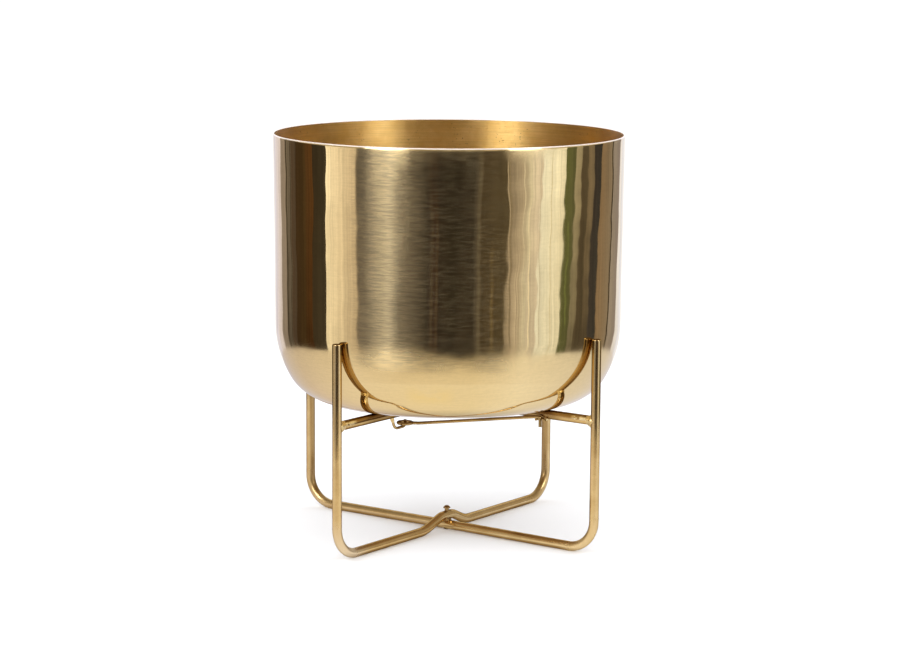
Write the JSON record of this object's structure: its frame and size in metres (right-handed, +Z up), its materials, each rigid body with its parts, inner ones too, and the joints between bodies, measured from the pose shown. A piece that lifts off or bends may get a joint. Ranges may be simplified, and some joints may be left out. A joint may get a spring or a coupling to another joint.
{
  "type": "planter pot on folding stand",
  "caption": "Round brass pot with a flat bottom and rounded lower edge, resting in a folding cross-frame rod stand that a wire hook latch ties open.",
  "frame": {"origin": "on the floor, on the vertical fold axis through the middle of the stand", "axes": "+Z up; frame B lies along X; frame A, which folds, lies along Y with its latched side towards -Y and +X"},
  "size_m": [0.316, 0.316, 0.3483],
  "materials": {
    "polished_brass": "polished and finely brushed outside, satin inside",
    "rod_brass": "satin, slightly aged",
    "braze": "rough bright braze",
    "rivet_brass": "satin, aged",
    "wire_brass": "satin, slightly aged"
  },
  "bodies": {
    "frame_b": {"frame_b_bow": "rod_brass", "frame_b_crossbar": "rod_brass", "frame_b_braze": "braze", "lower_pivot_rivet": "rivet_brass", "lower_pivot_washer": "rivet_brass", "upper_pivot_rivet": "rivet_brass", "upper_pivot_washer": "rivet_brass", "rod_keeper": "wire_brass", "keeper_braze": "braze"},
    "frame_a": {"frame_a_bow": "rod_brass", "frame_a_crossbar": "rod_brass", "frame_a_braze": "braze", "rod_hanger": "wire_brass", "hanger_braze": "braze"},
    "latch": {"latch_rod": "wire_brass"},
    "pot": {"pot_shell": "polished_brass"}
  },
  "joints": [
    {"name": "fold", "type": "hinge", "parent": "frame_b", "child": "frame_a", "pos_m": [0, 0, 0.0085], "axis": [0, 0, 1], "range_deg": [-62, 0]},
    {"name": "latch_swing", "type": "hinge", "parent": "frame_a", "child": "latch", "pos_m": [0, -0.061, 0.1044], "axis": [0, 0, 1], "range_deg": [-90, 0]},
    {"name": "pot_lift", "type": "slide", "parent": "frame_b", "child": "pot", "axis": [0, 0, 1], "range_m": [0, 0.12]}
  ]
}
